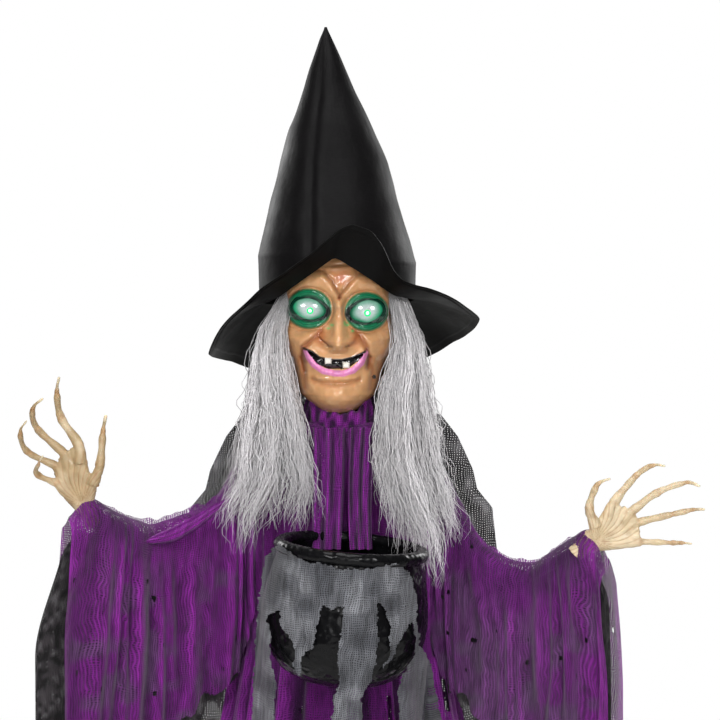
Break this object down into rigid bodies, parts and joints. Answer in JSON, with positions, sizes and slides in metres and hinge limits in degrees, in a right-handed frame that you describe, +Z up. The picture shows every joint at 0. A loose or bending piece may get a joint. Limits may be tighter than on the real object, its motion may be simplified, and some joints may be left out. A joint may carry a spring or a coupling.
{
  "type": "animated witch figure",
  "caption": "Life-size witch figure with a turning head, lit eyes, pointed hat, gauze robe and a round pot, on a take-apart four-leg stand.",
  "frame": {"origin": "on the floor, under the centre of the pole, at the underside of the base hub", "axes": "+Z up; the figure faces -Y; +X to the right as seen from the front, so left means -X in every name"},
  "size_m": [0.9799, 0.5398, 1.73],
  "materials": {
    "stand_steel": "black powder coat, satin",
    "moulded_black": "moulded, fine texture",
    "gear_plastic": "natural acetal",
    "motor_steel": "zinc plated",
    "shaft_steel": "drawn steel",
    "bronze": "oiled bronze",
    "screw_steel": "zinc plated",
    "mask_skin": "painted vinyl, glossy",
    "hand_bone": "moulded vinyl, semi-gloss",
    "eye_plastic": "translucent white",
    "led_green": "tinted lens",
    "mouth_paint": "black, glossy",
    "tooth_ivory": "ivory",
    "hat_satin": "black satin",
    "hair_grey": "synthetic fibre",
    "robe_gauze": "purple gauze",
    "cape_gauze": "dark gauze",
    "pot_black": "blow-moulded, glossy",
    "pot_gauze": "grey gauze",
    "board_green": "solder mask",
    "cell_jacket": "printed jacket",
    "cable_jacket": "matt",
    "lens_white": "translucent",
    "button_red": "gloss"
  },
  "bodies": {
    "stand": {"base_hub": "moulded_black", "base_legs": "stand_steel", "batteries": "cell_jacket", "bib": "robe_gauze", "cape": "cape_gauze", "cauldron": "pot_black", "cauldron_bracket": "stand_steel", "cauldron_gauze": "pot_gauze", "circuit_board": "board_green", "collar": "robe_gauze", "control_box_front": "moulded_black", "control_box_rear": "moulded_black", "drive_housing_front": "moulded_black", "drive_housing_rear": "moulded_black", "drive_motor": "motor_steel", "foot_pads": "moulded_black", "frame_screws": "screw_steel", "idler_axle": "shaft_steel", "lower_pole": "stand_steel", "middle_pole": "stand_steel", "motion_sensor_lens": "lens_white", "neck_bearings": "bronze", "pole_top_socket": "stand_steel", "robe_bodice": "robe_gauze", "shoulder_bolts": "screw_steel", "shoulder_bracket_left": "stand_steel", "shoulder_bracket_right": "stand_steel", "skirt": "robe_gauze", "speaker": "moulded_black", "upper_pole": "stand_steel", "wiring_harness": "cable_jacket"},
    "head": {"neck_shaft": "shaft_steel", "neck_gear": "gear_plastic", "head_frame": "moulded_black", "face_mask": "mask_skin", "head_shell_rear": "mask_skin", "eye_lens_left": "eye_plastic", "eye_lens_right": "eye_plastic", "eye_leds": "led_green", "mouth_insert": "mouth_paint", "teeth": "tooth_ivory", "mask_screws": "screw_steel", "hat_crown": "hat_satin", "hat_brim": "hat_satin", "hair_left": "hair_grey", "hair_right": "hair_grey", "hair_back": "hair_grey"},
    "idler": {"idler_gear": "gear_plastic"},
    "pinion": {"motor_pinion": "gear_plastic"},
    "arm_left": {"arm_tube_left": "stand_steel", "sleeve_left": "robe_gauze"},
    "arm_right": {"arm_tube_right": "stand_steel", "sleeve_right": "robe_gauze"},
    "hand_left": {"hand_left": "hand_bone"},
    "hand_right": {"hand_right": "hand_bone"},
    "switch": {"power_switch": "moulded_black"},
    "button": {"try_me_button": "button_red"},
    "door": {"battery_door": "moulded_black"}
  },
  "joints": [
    {"name": "head_turn", "type": "hinge", "parent": "stand", "child": "head", "pos_m": [0, 0, 1.2], "axis": [0, 0, 1], "range_deg": [-35, 35], "deforming": ["hair_left", "hair_right", "hair_back"]},
    {"name": "idler_spin", "type": "hinge", "parent": "stand", "child": "idler", "pos_m": [0, 0.03, 1.066], "axis": [0, 0, 1], "range_deg": [-140, 140]},
    {"name": "pinion_spin", "type": "hinge", "parent": "stand", "child": "pinion", "pos_m": [0.024, 0.03, 1.066], "axis": [0, 0, 1], "range_deg": [-420, 420]},
    {"name": "left_arm_lift", "type": "hinge", "parent": "stand", "child": "arm_left", "pos_m": [-0.15, 0, 1.06], "axis": [0, 1, 0], "range_deg": [-15, 25], "deforming": ["sleeve_left"]},
    {"name": "right_arm_lift", "type": "hinge", "parent": "stand", "child": "arm_right", "pos_m": [0.15, 0, 1.06], "axis": [0, -1, 0], "range_deg": [-15, 25], "deforming": ["sleeve_right"]},
    {"name": "left_hand_turn", "type": "hinge", "parent": "arm_left", "child": "hand_left", "pos_m": [-0.37, -0.19, 1.013], "axis": [-0.3776, -0.7551, 0.5359], "range_deg": [-45, 45]},
    {"name": "right_hand_turn", "type": "hinge", "parent": "arm_right", "child": "hand_right", "pos_m": [0.365, -0.19, 0.961], "axis": [0.5416, -0.7003, 0.465], "range_deg": [-45, 45]},
    {"name": "power_switch_slide", "type": "slide", "parent": "stand", "child": "switch", "axis": [1, 0, 0], "range_m": [0, 0.004]},
    {"name": "try_me_press", "type": "slide", "parent": "stand", "child": "button", "axis": [0, 1, 0], "range_m": [0, 0.002], "stiffness_N_per_m": 400},
    {"name": "battery_door_slide", "type": "slide", "parent": "stand", "child": "door", "axis": [0, 0, -1], "range_m": [0, 0.045]}
  ],
  "couplings": [
    {"joint": "idler_spin", "follows": "head_turn", "ratio": -4},
    {"joint": "pinion_spin", "follows": "head_turn", "ratio": 12}
  ]
}
